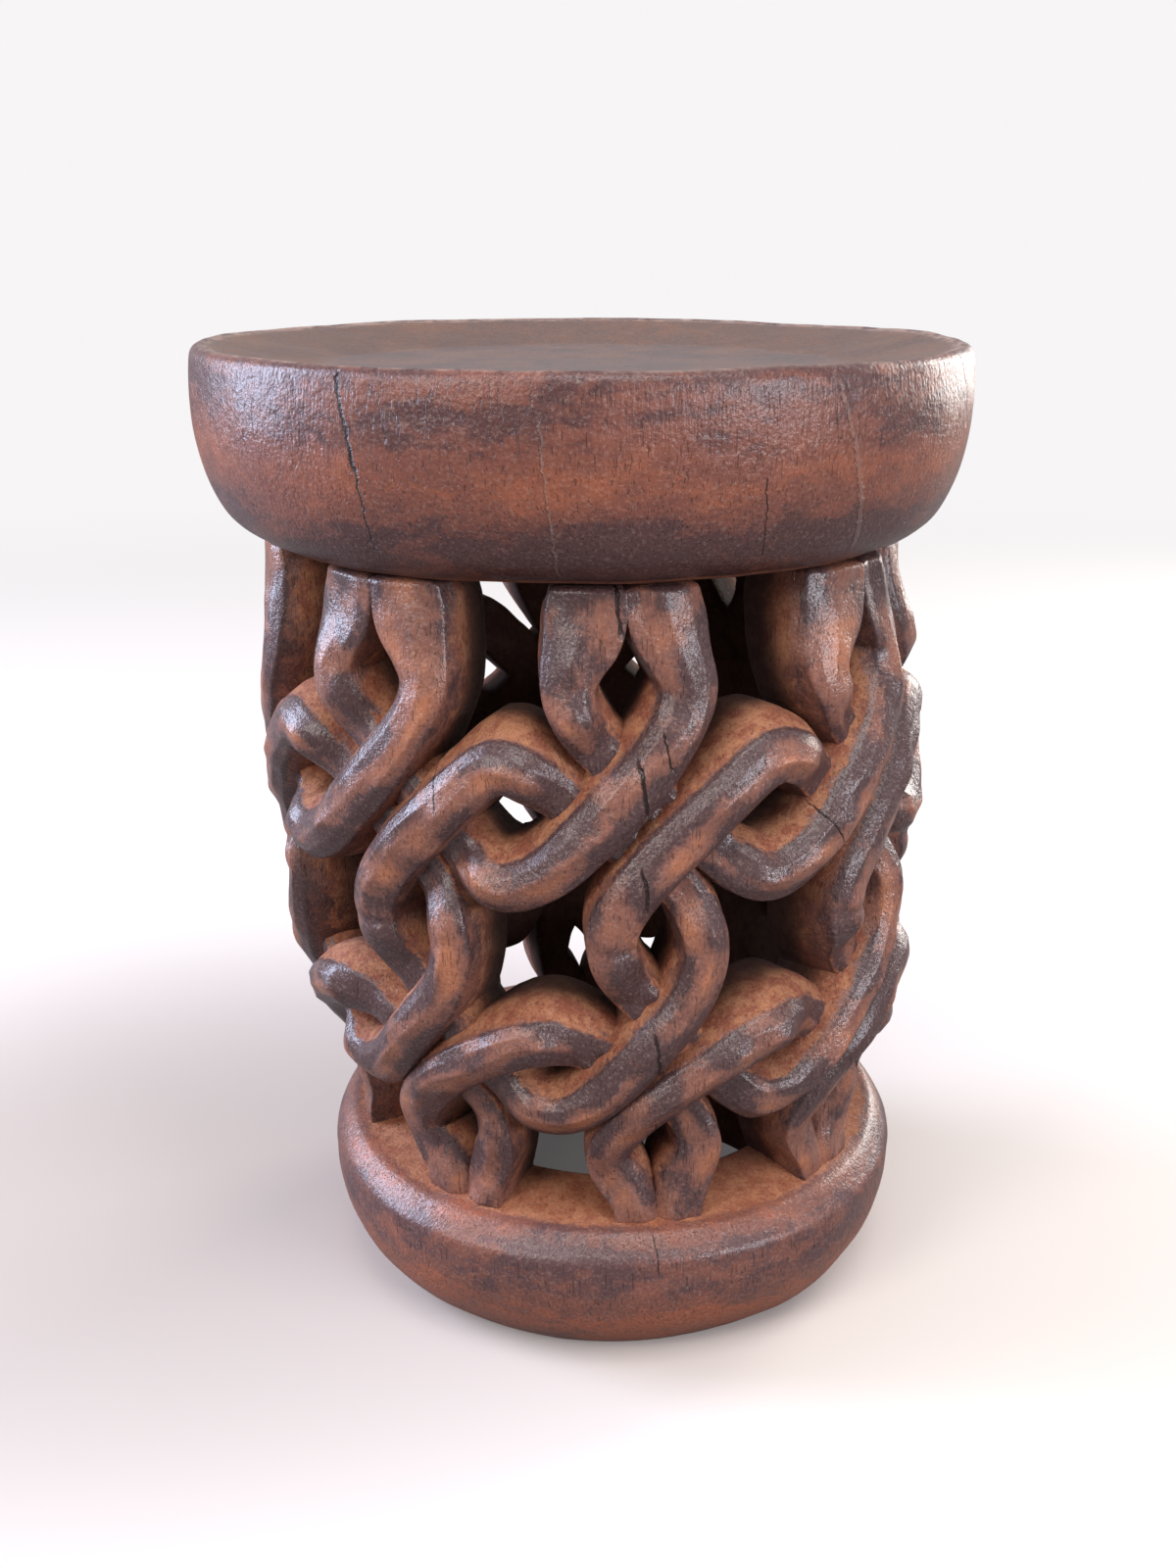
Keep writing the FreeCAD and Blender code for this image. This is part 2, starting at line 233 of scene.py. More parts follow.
@dataclass(frozen=True)
class OiledHardwood:
    """Dense reddish African hardwood, carved with knife and gouge, oiled and worn.

    To the eye: slate-brown patina with a soft speckled sheen, rubbed through to brown
    and tan where hands pass, dry orange wood in the grooves, upright grain with pores.
    """

    name: str
    slate: str
    brown: str
    tan: str
    orange: str
    raw: str
    deep: str
    sheen: float
    dry: float
    blotch_mm: float
    flatten: float = 1.0
    ragged: float = 1.0
    chatter: float = 0.3
    pale: str = "#c4ab9c"
    cracks: Sequence[Crack] = ()
    scars: Sequence[Crack] = ()

    def material(self) -> bpy.types.Material:
        """Build the node material, which reads Object coordinates and the wear and painted-shade
        layers.

        Returns:
            The finished material.
        """
        material = bpy.data.materials.new(self.name)
        material.use_nodes = True
        bench = NodeBench(material.node_tree)
        spot = bench.add("TexCoord").outputs["Object"]
        crown, painted_shade, wear_and_shade, edge = [bench.attribute(name) for name in WEAR_LAYERS]
        upright = bench.stretched(spot, (1.0, 1.0, 0.08))
        flat = bench.stretched(spot, (1.0, 1.0, self.flatten))
        grain = bench.cloud(upright, 1.9, 3.0, 0.6)
        pores = bench.cloud(upright, 0.9, 1.0)
        blotch = bench.cloud(flat, self.blotch_mm, 4.0, 0.6, 0.4)
        patch = bench.cloud(flat, self.blotch_mm * 0.24, 5.0, 0.68, 0.6)
        speckle = bench.cloud(spot, 1.7, 2.0, 0.6)
        raggedness = bench.scaled(patch, 0.9)
        oiled = bench.ramp(bench.math("ADD", crown, raggedness), 0.3, 0.52)

        # Raw wood in the grooves.
        dust = bench.cloud(spot, 9.0, 4.0, 0.65)
        dry = bench.mix(bench.ramp(dust, 0.38, 0.62), linear(self.raw), linear(self.orange))
        dry = bench.stain(bench.ramp(grain, 0.5, 0.75), 0.35, dry, self.deep)

        # Patina, rubbed through in streaks, and darker where painted shade lowers the rub.
        rubbed_and_shaded = bench.math("ADD", wear_and_shade, bench.scaled(blotch, 1.5 * self.ragged))
        rubbed_and_shaded = bench.math("ADD", rubbed_and_shaded, bench.scaled(patch, 1.2 * self.ragged))
        rubbed_and_shaded = bench.math("ADD", rubbed_and_shaded, bench.scaled(grain, 0.35))
        patina = bench.mix(bench.ramp(rubbed_and_shaded, 0.2, 0.52), linear(self.slate), linear(self.brown))
        patina = bench.mix(bench.ramp(rubbed_and_shaded, 0.52, 0.9), patina, linear(self.tan))
        patina = bench.stain(bench.ramp(grain, 0.55, 0.8), 0.3, patina, self.deep)
        body = bench.mix(oiled, dry, patina)
        # Painted sheen: pale specks that break up the highlights.
        body = bench.stain(bench.ramp(speckle, 0.5, 0.78), 0.2, body, self.pale)
        body = bench.stain(bench.ramp(speckle, 0.46, 0.2), 0.4, body, self.deep)
        body = bench.stain(bench.ramp(pores, 0.64, 0.7), 0.5, body, self.deep)
        body = bench.stain(bench.math("MULTIPLY", edge, bench.ramp(patch, 0.36, 0.64)), 0.5, body,
                           self.pale)
        # Painted shade: the deep colour where a vertex lies deep in the lattice, under or low on
        # the seat, on the dish's wall, inside the base ring and along its bottom edge.
        body = bench.stain(bench.ramp(painted_shade, 0.1, 0.9), 0.85, body, self.deep)

        rough = bench.mix(oiled, self.dry, self.sheen, Blend.VALUE)
        rough = bench.math("ADD", rough, bench.scaled(patch, 0.22))
        strokes = bench.math("MULTIPLY", grain, bench.ramp(blotch, 0.4, 0.6))
        relief = bench.math("MULTIPLY", strokes, self.chatter)
        relief = bench.math("ADD", relief, bench.math("MULTIPLY", speckle, 0.75))
        relief = bench.math("SUBTRACT", relief, bench.math(
            "MULTIPLY", bench.ramp(pores, 0.62, 0.7), 0.5))
        body, relief = self.mark(bench, spot, patch, body, relief)
        coarse = bench.cloud(spot, 6.0, 3.0, 0.5)
        bump = bench.add("Bump", Strength=0.4, Distance=1.1 * MM, Height=coarse).outputs[0]
        bump = bench.add("Bump", Strength=0.85, Distance=0.6 * MM, Height=relief,
                         Normal=bump).outputs[0]
        shader = bench.add("BsdfPrincipled", Base_Color=body, Roughness=rough, Normal=bump,
                           IOR=1.5)
        bench.add("OutputMaterial", Surface=shader.outputs[0])
        return material

    def mark(self, bench: NodeBench, spot: Socket, sway: Socket, body: Socket,
             relief: Socket) -> tuple[Socket, Socket]:
        """Draw the drying cracks and the filled scars.

        Args:
            bench: Tree that gets the nodes.
            spot: Object coordinates.
            sway: Cloudy value that makes the lines wander.
            body: Colour so far.
            relief: Height so far.

        Returns:
            Colour and height with the lines in them.
        """
        axes = bench.add("SeparateXYZ", Vector=spot).outputs
        bearing = bench.math("ARCTAN2", axes["X"], bench.math("MULTIPLY", axes["Y"], -1.0))
        for line in self.scars:
            mask = line.mask(bench, bearing, axes["Z"], sway)
            body = bench.stain(mask, 0.12, body, self.pale)
            relief = bench.math("ADD", relief, bench.math("MULTIPLY", mask, 1.5))
        for line in self.cracks:
            mask = line.mask(bench, bearing, axes["Z"], sway)
            body = bench.stain(mask, 1.0, body, self.deep)
            relief = bench.math("SUBTRACT", relief, bench.math("MULTIPLY", mask, 4.0))
        return body, relief


SEAT_WOOD = OiledHardwood(
    "oiled_hardwood_seat", "#533534", "#7a493c", "#955740", "#a8623e", "#8b4c32", "#220e0a",
    0.33, 0.7, 70.0, 2.2, 0.8, 0.9,
    cracks=(
        Crack((-37.3, 428), (-37.5, 467), 0.8), Crack((-37.5, 465), (-40.2, 508), 1.8),
        Crack((17.4, 428), (15.2, 464), 0.5), Crack((60.0, 475), (56.3, 507), 0.9),
        Crack((-51.0, 487), (-54.7, 483), 1.2), Crack((-48.0, 487), (-51.0, 488), 1.2),
    ),
    scars=(Crack((-11.4, 420), (-13.4, 490), 1.3), Crack((34.6, 425), (25.5, 505), 3.0)),
)
FLOOR_WOOD = OiledHardwood(
    "scraped_hardwood_floor", "#5c4d4b", "#71574e", "#85614f", "#6f4d40", "#5b3c31", "#2b1712",
    0.4, 0.7, 50.0, 1.0, 0.8, 0.6,
)
STRAND_WOOD = OiledHardwood(
    "carved_hardwood_strands", "#4f3838", "#845749", "#a86b4e", "#a8704f", "#884b34", "#200d08",
    0.3, 0.85, 40.0, 1.0, 0.7, 0.35,
    cracks=(
        Crack((-2.2, 392), (-3.1, 416), 1.4), Crack((5.2, 330), (3.9, 349), 0.8),
        Crack((1.6, 309), (0.0, 336), 1.6), Crack((1.7, 262), (0.9, 283), 1.5),
        Crack((4.9, 172), (3.3, 197), 1.4), Crack((6.0, 130), (4.8, 143), 0.8),
        Crack((36.0, 281), (31.7, 302), 0.9), Crack((-30.4, 307), (-32.5, 327), 0.8),
    ),
)
BASE_WOOD = OiledHardwood(
    "oiled_hardwood_base", "#5a3f3f", "#7d4f43", "#a15c42", "#a96d4c", "#945539", "#27110b",
    0.33, 0.8, 60.0, 2.0, 0.8, 0.7, cracks=(Crack((5.5, 58), (5.2, 76), 0.6),),
)


def as_object(name: str, mesh: bmesh.types.BMesh,
              materials: Sequence[bpy.types.Material]) -> bpy.types.Object:
    """Turn a bmesh into a smooth-shaded object at the origin.

    Args:
        name: Name of the piece.
        mesh: The finished bmesh, which is freed.
        materials: What the faces' material numbers stand for.

    Returns:
        The linked object.
    """
    data = bpy.data.meshes.new(name)
    mesh.to_mesh(data)
    mesh.free()
    for face in data.polygons:
        face.use_smooth = True
    for material in materials:
        data.materials.append(material)
    piece = bpy.data.objects.new(name, data)
    bpy.context.scene.collection.objects.link(piece)
    return piece


class Carving:
    """What every carved piece shares: its solid, its material slot and its wear and painted-shade
    layers.
    """

    node: str
    slot: str

    def open_mesh(self) -> tuple[bmesh.types.BMesh, list[object]]:
        """Start a mesh with its wear and painted-shade layers."""
        mesh = bmesh.new()
        return mesh, [mesh.verts.layers.float.new(name) for name in WEAR_LAYERS]

    def paint(self, vertex: bmesh.types.BMVert, layers: Sequence[object], wear: Wear) -> None:
        """Write the wear and painted shade of one vertex into its layers."""
        for layer, name in zip(layers, WEAR_LAYERS):
            vertex[layer] = getattr(wear, name)

    def finish(self, mesh: bmesh.types.BMesh,
               woods: Sequence[bpy.types.Material]) -> bpy.types.Object:
        """Round the piece off and let it stand for its solid.

        Args:
            mesh: The closed bmesh.
            woods: Materials of its faces.

        Returns:
            The finished piece.
        """
        bmesh.ops.recalc_face_normals(mesh, faces=mesh.faces[:])
        piece = as_object("carved_" + self.node, mesh, woods)
        modifier = piece.modifiers.new("Rounding", "SUBSURF")
        modifier.levels = 1
        modifier.render_levels = 1
        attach(piece, "root")
        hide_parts(self.node)
        return piece


@dataclass(frozen=True)
class Barrel:
    """Shape that the strands follow, in millimetres."""

    base_height: float = 86.0
    height: float = 329.0
    radius: float = 180.4
    bore: float = 130.0
    shift_right: float = 17.2
    shift_front: float = 2.1
    sway_left_deg: float = 2.4
    sway_right_deg: float = 2.6
    outside: Sequence[tuple[float, float]] = (
        (0.0, 0.8), (0.06, 0.808), (0.135, 0.865), (0.225, 0.93), (0.315, 0.962), (0.405, 0.974),
        (0.5, 0.98), (0.59, 0.992), (0.68, 1.0), (0.77, 0.991), (0.865, 0.961), (0.94, 0.935),
        (1.0, 0.926),
    )
    inside: Sequence[tuple[float, float]] = (
        (0.0, 0.8), (0.225, 0.9), (0.5, 0.97), (0.7, 1.0), (1.0, 0.93),
    )

    def share(self, level: float) -> float:
        """Height above the floor as a share of the lattice."""
        return (level - self.base_height) / self.height

    def read(self, table: Sequence[tuple[float, float]], level: float) -> float:
        """Read a table of shares at a height.

        Args:
            table: Pairs of height share and radius share.
            level: Height above the floor, mm.

        Returns:
            The radius share there.
        """
        place = min(max(self.share(level), 0.0), 1.0)
        last = len(table) - 1
        index = 0
        while index < last - 1 and place > table[index + 1][0]:
            index += 1
        step = (place - table[index][0]) / (table[index + 1][0] - table[index][0])
        picks = [table[min(max(index + off, 0), last)][1] for off in (-1, 0, 1, 2)]
        return blend(*picks, step)

    def outer(self, level: float) -> float:
        """Outside radius at a height, mm."""
        return self.radius * self.read(self.outside, level)

    def inner(self, level: float) -> float:
        """Radius of the hollow at a height, mm."""
        return self.bore * self.read(self.inside, level)

    def point(self, angle: float, level: float, radius: float) -> Vector:
        """Point of the leaning barrel, which the hand set out a little unevenly.

        Args:
            angle: Bearing in radians; 0 faces -Y and turns to +X.
            level: Height above the floor, mm.
            radius: Distance from the barrel's axis, mm.

        Returns:
            The point in metres.
        """
        lean = 1 - self.share(level)
        left, right = [math.remainder(angle + side, math.tau) / (0.6 * PITCH)
                       for side in (PITCH, -PITCH)]
        angle += math.radians(self.sway_left_deg) * math.exp(-left ** 2)
        upper = smooth_step((0.65 - lean) / 0.35)
        angle += math.radians(self.sway_right_deg) * upper * math.exp(-right ** 2)
        return Vector((
            self.shift_right * lean + radius * math.sin(angle),
            -self.shift_front * lean - radius * math.cos(angle),
            level,
        )) * MM


@dataclass(frozen=True)
class StrandCut:
    """How the carver shaped the section of a strand, in millimetres."""

    half_width: float = 11.7
    crown_rise: float = 6.4
    lap_depth: float = 13.5
    lap_share: float = 0.255
    dive: float = 26.0
    side_flare: float = 1.6
    ledge_flare: float = 9.0
    cut_length: float = 13.0
    cut_depth: float = 1.9
    block: float = 12.0
    block_reach: float = 42.0
    chip_span: float = 8.0
    wander_span: float = 38.0
    streak_span: float = 26.0
    rounding: int = 6
    back_knots: Sequence[tuple[float, float]] = (
        (-1.0, 1.0), (-0.6, 0.36), (0.0, 0.0), (0.56, 0.34), (1.0, 1.0),
    )
    back_places: Sequence[float] = (
        -1.0, -0.93, -0.8, -0.68, -0.6, -0.52, -0.34, -0.12, 0.0, 0.12, 0.32, 0.48, 0.56, 0.64,
        0.78, 0.92, 1.0,
    )
    wall: Sequence[tuple[float, float]] = (
        (0.06, 0.15), (0.17, 0.6), (0.32, 1.0), (0.58, 1.0), (0.84, 1.0),
    )
    inner_places: Sequence[float] = (1.0, 0.5, 0.0, -0.5, -1.0)

    def section(self) -> list[tuple[float, float, float]]:
        """Go once round the section, from the back over the walls and the inner side.

        Returns:
            Place across, depth share and flare share of each point.
        """
        points = [(place, 0.0, 0.0) for place in self.back_places]
        points += [(1.0, depth, flare) for depth, flare in self.wall]
        points += [(place, 1.0, 1.0) for place in self.inner_places]
        points += [(-1.0, depth, flare) for depth, flare in reversed(self.wall)]
        return points


@dataclass
class Strand(Carving):
    """One strand of the lattice, carved as a faceted band with deep walls."""

    node: str
    column: int
    rows: Sequence[Row]
    closed: bool
    barrel: Barrel
    slot: str = "lattice_wood"
    cut: StrandCut = field(default_factory=StrandCut)
    crossings: Sequence[tuple[float, float]] = ((-0.015, 0.655), (0.045, 0.273))
    spacing_share: float = 0.431
    step_mm: float = 3.0
    heading_mm: float = 4.0
    stations: list[tuple[float, float, float, float]] = field(default_factory=list)

    def lay_stations(self) -> None:
        """Work out angle, height, breadth and length at even spans of the path."""
        count = len(self.rows)
        spans = count if self.closed else count - 1
        fine = 8
        places: list[list[float]] = []
        for span in range(spans):
            picks = []
            for off in (-1, 0, 1, 2):
                index = span + off
                index = index % count if self.closed else min(max(index, 0), count - 1)
                picks.append(self.rows[index])
            for part in range(fine):
                places.append([blend(*values, part / fine) for values in zip(*picks)])
        places.append(list(self.rows[0 if self.closed else -1]))
        for _ in range(self.cut.rounding):
            places = self.eased(places)
        length = 0.0
        for turn, level, breadth in places:
            angle = (self.column + turn) * PITCH
            height = self.barrel.base_height + level * self.barrel.height
            if self.stations:
                last = self.stations[-1]
                length += math.hypot((angle - last[0]) * self.barrel.outer(height),
                                     height - last[1])
            self.stations.append((angle, height, breadth, length))

    def eased(self, places: list[list[float]]) -> list[list[float]]:
        """Take the sharpness off the path's bends.

        Args:
            places: Turn, level and breadth along the path.

        Returns:
            The same places, each drawn towards its neighbours.
        """
        behind = places[-2] if self.closed else places[0]
        ahead = places[1] if self.closed else places[-1]
        befores = [behind] + places[:-1]
        afters = places[1:] + [ahead]
        return [[(a + 2 * b + c) / 4 for a, b, c in zip(*three)]
                for three in zip(befores, places, afters)]

    @property
    def length(self) -> float:
        """Length of the path in mm."""
        return self.stations[-1][3]

    def station(self, share: float) -> tuple[float, ...]:
        """Find the place at a share of the strand's length.

        Args:
            share: Share of the length, 0 to 1.

        Returns:
            Angle, height, breadth and length there.
        """
        target = share * self.length
        low, high = 0, len(self.stations) - 1
        while high - low > 1:
            middle = (low + high) // 2
            if self.stations[middle][3] > target:
                high = middle
            else:
                low = middle
        first, second = self.stations[low], self.stations[high]
        step = (target - first[3]) / max(second[3] - first[3], 1e-9)
        return tuple(a + (b - a) * step for a, b in zip(first, second))

    def crossing_distance(self, angle: float, height: float) -> float:
        """Distance to the nearest crossing along its slanting strands.

        Args:
            angle: Bearing in radians.
            height: Height above the floor, mm.

        Returns:
            The distance in spacings of the strands.
        """
        distances = []
        for pitch_share, level_share in self.crossings:
            turn = angle / PITCH - pitch_share
            level = self.barrel.base_height + level_share * self.barrel.height
            across = abs(turn - round(turn)) * self.barrel.read(self.barrel.outside, level)
            up = abs(self.barrel.share(height) - level_share) / self.spacing_share
            distances.append((across + up) / math.sqrt(2))
        return min(distances)

    def landing(self, height: float) -> float:
        """Distance in mm to the seat or the base, whichever is nearer."""
        top = self.barrel.base_height + self.barrel.height
        return max(min(height - self.barrel.base_height, top - height), 0.0)

    def heading(self, share: float) -> tuple[float, float]:
        """Direction of the path, sideways and up, as parts of a unit step.

        Args:
            share: Share of the strand's length.

        Returns:
            How much of a step goes sideways and how much up.
        """
        reach = self.heading_mm / self.length
        here = self.station(share)
        ahead = self.station(min(share + reach, 1.0))
        behind = self.station(max(share - reach, 0.0))
        if self.closed and not reach < share < 1 - reach:
            ahead, behind = self.station(reach), self.station(1 - reach)
        sideways = math.remainder(ahead[0] - behind[0], math.tau) * self.barrel.outer(here[1])
        climb = ahead[1] - behind[1]
        sideways /= math.hypot(sideways, climb)
        if not self.closed:
            sideways *= min(1.0, self.landing(here[1]) / (self.cut.half_width * here[2]))
        return sideways, math.copysign(math.sqrt(max(1 - sideways ** 2, 0.0)), climb)

    def knife(self, lane: int, length: float) -> float:
        """Depth of the flat knife cuts along one lane of the back.

        Args:
            lane: Number of the knot across the back.
            length: Distance along the path, mm.

        Returns:
            The depth in mm.
        """
        count = max(1, round(self.length / self.cut.cut_length))
        place = length / self.length * count + lane * 0.37
        first = math.floor(place)
        ends = [
            noise.cell(Vector(((index % count) + 0.5, lane * 3 + 0.5,
                               self.column * 5 + len(self.rows) + 0.5)))
            for index in (first, first + 1)
        ]
        depth = self.cut.cut_depth * (1 - 0.6 * abs(self.cut.back_knots[lane][0]))
        return depth * (ends[0] + (ends[1] - ends[0]) * (place - first))

    def back(self, place: float, length: float, land: float) -> float:
        """Depth of the faceted back below its top line.

        Args:
            place: Place across, -1 to 1, where -1 is the edge of an eye.
            length: Distance along the path, mm.
            land: Distance to the seat or the base, mm, where two strands form one block.

        Returns:
            The depth in mm.
        """
        knots = self.cut.back_knots
        lane = 0
        while lane < len(knots) - 2 and place > knots[lane + 1][0]:
            lane += 1
        (left, high), (right, low) = knots[lane], knots[lane + 1]
        step = (place - left) / (right - left)
        drop = high + (low - high) * step
        if place < 0 and not self.closed:
            drop *= 0.06 + 0.94 * smooth_step((land - self.cut.block) / self.cut.block_reach)
        cuts = [self.knife(number, length) for number in (lane, lane + 1)]
        return drop * self.cut.crown_rise + cuts[0] + (cuts[1] - cuts[0]) * step

    def rubbed_and_shaded(self, across: float, climb_side: float, share: float) -> float:
        """Rub-through of the patina, most below the ridge, with painted shade on the lower flank.

        Args:
            across: Place across, -1 to 1.
            climb_side: Way up across the strand, from -1 (faces down) to 1 (faces up).
            share: Share of the strand's length.

        Returns:
            The wear and painted shade, from about 0 to 1.
        """
        turn = share * math.tau
        reach = self.length / math.tau / self.cut.streak_span
        streak = noise.noise(Vector((math.cos(turn) * reach, math.sin(turn) * reach,
                                     across * 0.9 + self.column * 7.3 + len(self.rows))))
        band = math.exp(-((climb_side + 0.14) / 0.34) ** 2) * (1 - 0.35 * across ** 2)
        # The last term is painted shade: it darkens the flank that faces down.
        return 0.16 + 0.36 * band + 0.62 * streak - 0.22 * smooth_step(-0.2 - climb_side)

    def place(self, section: tuple[float, float, float], share: float) -> tuple[Vector, Wear]:
        """Point of the strand's skin with its wear and painted shade.

        Args:
            section: Place across, depth share and flare share.
            share: Share of the strand's length.

        Returns:
            The point in metres and its wear and painted shade.
        """
        across, depth, flare = section
        angle, height, breadth, length = self.station(share)
        sideways, climb = self.heading(share)
        over = sideways * climb > 0
        spacing = PITCH * self.barrel.radius
        beyond = (self.crossing_distance(angle, height) - self.cut.lap_share) * spacing
        dive = 0.0 if over else 1 - smooth_step(beyond / self.cut.dive)
        upward = sideways * across
        widen = self.cut.side_flare + (self.cut.ledge_flare - self.cut.side_flare) * max(upward, 0)
        chip = noise.noise(Vector((length / self.cut.chip_span, depth * 4,
                                   across * 2 + self.column)))
        wander = 0.3 * noise.noise(Vector((length / self.cut.wander_span, self.column * 3.1,
                                           len(self.rows))))
        offset = (across + wander * (1 - abs(across))) * self.cut.half_width * breadth
        offset += across * flare * (widen + chip)
        spot = angle - climb * offset / self.barrel.outer(height)
        level = height + sideways * offset
        outer = self.barrel.outer(level) - self.back(across, length, self.landing(height))
        outer -= dive * self.cut.lap_depth * (1 - 0.3 * abs(across))
        point = self.barrel.point(spot, level, outer + (self.barrel.inner(level) - outer) * depth)
        if depth == 0.0:
            wear = Wear(1.0 - 0.3 * abs(across) ** 4 - 0.4 * dive * abs(across), 0.0,
                        self.rubbed_and_shaded(across, upward, share) - 0.25 * dive)
        else:
            ledge = max(upward, 0.0)
            # Walls: raw wood, with painted shade that grows the deeper they lie.
            wear = Wear(0.72 * (1 - depth) ** (1.4 + 3 * ledge) - 0.25 * ledge,
                        smooth_step(depth * 1.15), 0.35)
        return point, wear

    def build(self, material: bpy.types.Material) -> bpy.types.Object:
        """Bend a grid into the strand, close and dress it.

        Args:
            material: Wood of the strand.

        Returns:
            The finished piece.
        """
        self.lay_stations()
        section = self.cut.section()
        around, along = len(section), round(self.length / self.step_mm)
        mesh, layers = self.open_mesh()
        bmesh.ops.create_grid(mesh, x_segments=around, y_segments=along, size=0.5)
        for vertex in mesh.verts:
            column = round((vertex.co.x + 0.5) * around) % around
            row = round((vertex.co.y + 0.5) * along)
            share = (row % along if self.closed else row) / along
            vertex.co, wear = self.place(section[column], share)
            self.paint(vertex, layers, wear)
        bmesh.ops.remove_doubles(mesh, verts=mesh.verts[:], dist=0.001 * MM)
        if not self.closed:
            rims = [edge for edge in mesh.edges if edge.is_boundary]
            bmesh.ops.holes_fill(mesh, edges=rims, sides=0)
        return self.finish(mesh, [material])


@dataclass(frozen=True)
class Lattice:
    """The barrel of interlaced strands."""

    barrel: Barrel = field(default_factory=Barrel)
    upper: Sequence[Row] = (
        (0.094, 1.0, 1.55), (0.1, 0.97, 1.66), (0.12, 0.93, 1.64), (0.15, 0.89, 1.32),
        (0.169, 0.85, 1.17), (0.118, 0.8, 1.05), (0.03, 0.75, 1.1), (-0.075, 0.7, 1.15),
        (-0.19, 0.655, 1.15), (-0.335, 0.598, 1.08), (-0.47, 0.567, 1.04), (-0.59, 0.562, 1.02),
        (-0.715, 0.594, 1.0), (-0.855, 0.65, 1.0), (-1.01, 0.705, 1.0), (-1.155, 0.76, 0.97),
        (-1.232, 0.805, 1.03), (-1.266, 0.85, 1.17), (-1.246, 0.89, 1.32), (-1.206, 0.93, 1.64),
        (-1.18, 0.97, 1.66), (-1.174, 1.0, 1.55),
    )
    ring: Sequence[Row] = (
        (-0.55, 0.743, 1.08), (-0.425, 0.73, 1.08), (-0.29, 0.686, 1.04), (-0.155, 0.644, 1.0),
        (-0.03, 0.61, 1.0), (0.09, 0.568, 1.0), (0.175, 0.515, 1.0), (0.2, 0.45, 1.0),
        (0.14, 0.38, 1.0), (0.03, 0.325, 1.0), (-0.095, 0.27, 1.0), (-0.245, 0.21, 1.0),
        (-0.4, 0.175, 1.0), (-0.545, 0.179, 1.0), (-0.685, 0.22, 1.0), (-0.835, 0.28, 1.0),
        (-0.99, 0.355, 1.0), (-1.12, 0.42, 1.08), (-1.155, 0.495, 1.12), (-1.035, 0.572, 1.1),
        (-0.86, 0.642, 1.12), (-0.7, 0.7, 1.08),
    )
    arch: Sequence[Row] = (
        (0.085, -0.034, 1.12), (0.132, 0.03, 1.08), (0.222, 0.095, 1.0), (0.145, 0.168, 1.0),
        (-0.015, 0.228, 1.0), (-0.2, 0.277, 1.0), (-0.34, 0.304, 1.04), (-0.48, 0.31, 1.04),
        (-0.635, 0.29, 1.02), (-0.8, 0.255, 1.0), (-0.945, 0.215, 1.0), (-1.135, 0.148, 1.0),
        (-1.228, 0.085, 1.0), (-1.122, 0.03, 1.08), (-1.07, -0.034, 1.12),
    )

    def build(self) -> Iterator[bpy.types.Object]:
        """Build every strand of every column.

        Returns:
            The finished strands, one by one.
        """
        wood = STRAND_WOOD.material()
        for stem, rows, closed in (
            ("upper_strand", self.upper, False),
            ("middle_ring", self.ring, True),
            ("lower_arch", self.arch, False),
        ):
            for column in range(COLUMNS):
                yield Strand(f"{stem}_{column + 1}", column, rows, closed, self.barrel).build(wood)


